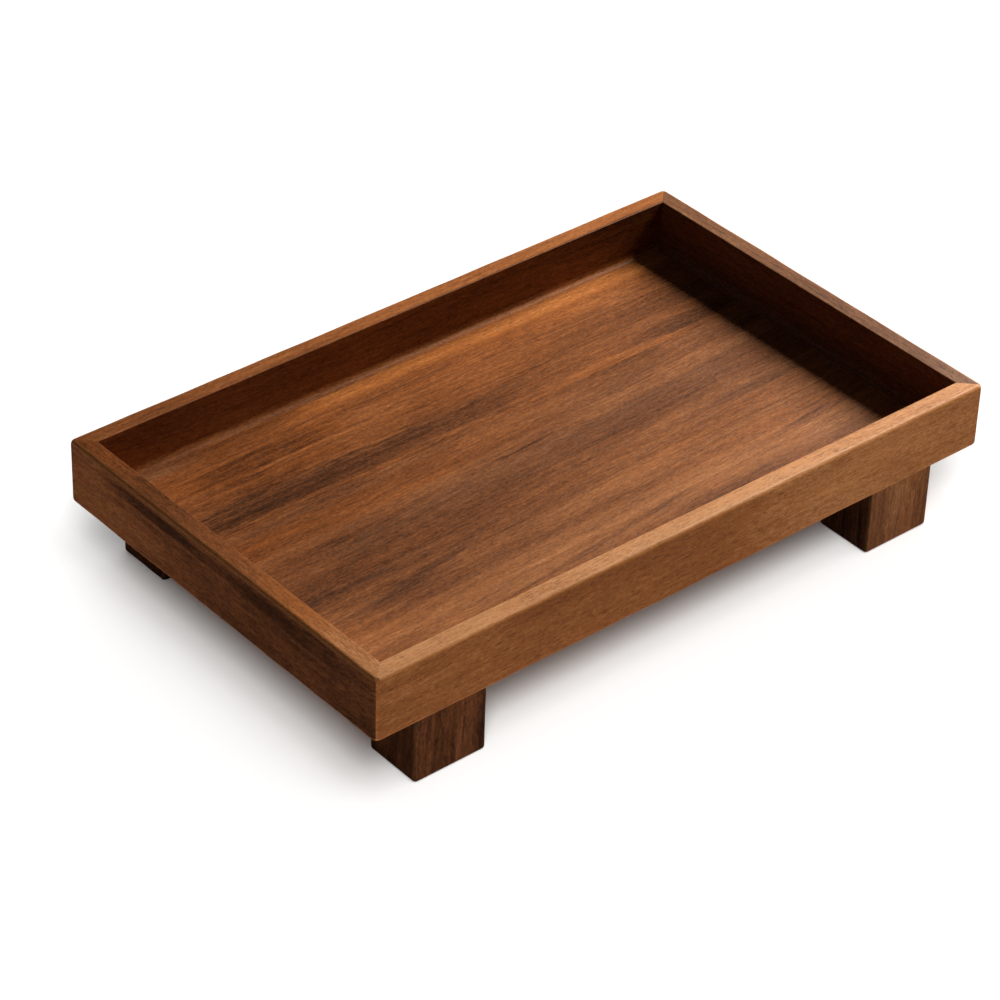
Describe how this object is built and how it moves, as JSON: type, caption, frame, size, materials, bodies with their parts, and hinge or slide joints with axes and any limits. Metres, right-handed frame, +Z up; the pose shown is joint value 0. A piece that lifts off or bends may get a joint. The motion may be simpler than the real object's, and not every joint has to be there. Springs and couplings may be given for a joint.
{
  "type": "footed wooden tray",
  "caption": "Rectangular wooden tray with low mitred rails round an edge-glued base, raised on block feet, for serving or for keeping small things together.",
  "frame": {"origin": "on the surface that the feet stand on, under the middle of the base", "axes": "+X along the length, +Y from the front rail to the back rail, +Z up"},
  "size_m": [0.3, 0.185, 0.059],
  "materials": {
    "rail_wood": "oiled, satin",
    "base_wood": "oiled, satin",
    "foot_wood": "oiled, satin",
    "peg_wood": "bare"
  },
  "bodies": {
    "root": {"front_rail": "rail_wood", "back_rail": "rail_wood", "left_rail": "rail_wood", "right_rail": "rail_wood", "base_stave_front": "base_wood", "base_stave_middle": "base_wood", "base_stave_back": "base_wood", "front_left_foot": "foot_wood", "front_right_foot": "foot_wood", "back_left_foot": "foot_wood", "back_right_foot": "foot_wood", "front_left_spline": "peg_wood", "front_right_spline": "peg_wood", "back_left_spline": "peg_wood", "back_right_spline": "peg_wood", "front_left_outer_dowel": "peg_wood", "front_left_inner_dowel": "peg_wood", "front_right_outer_dowel": "peg_wood", "front_right_inner_dowel": "peg_wood", "back_left_outer_dowel": "peg_wood", "back_left_inner_dowel": "peg_wood", "back_right_outer_dowel": "peg_wood", "back_right_inner_dowel": "peg_wood"}
  },
  "joints": []
}
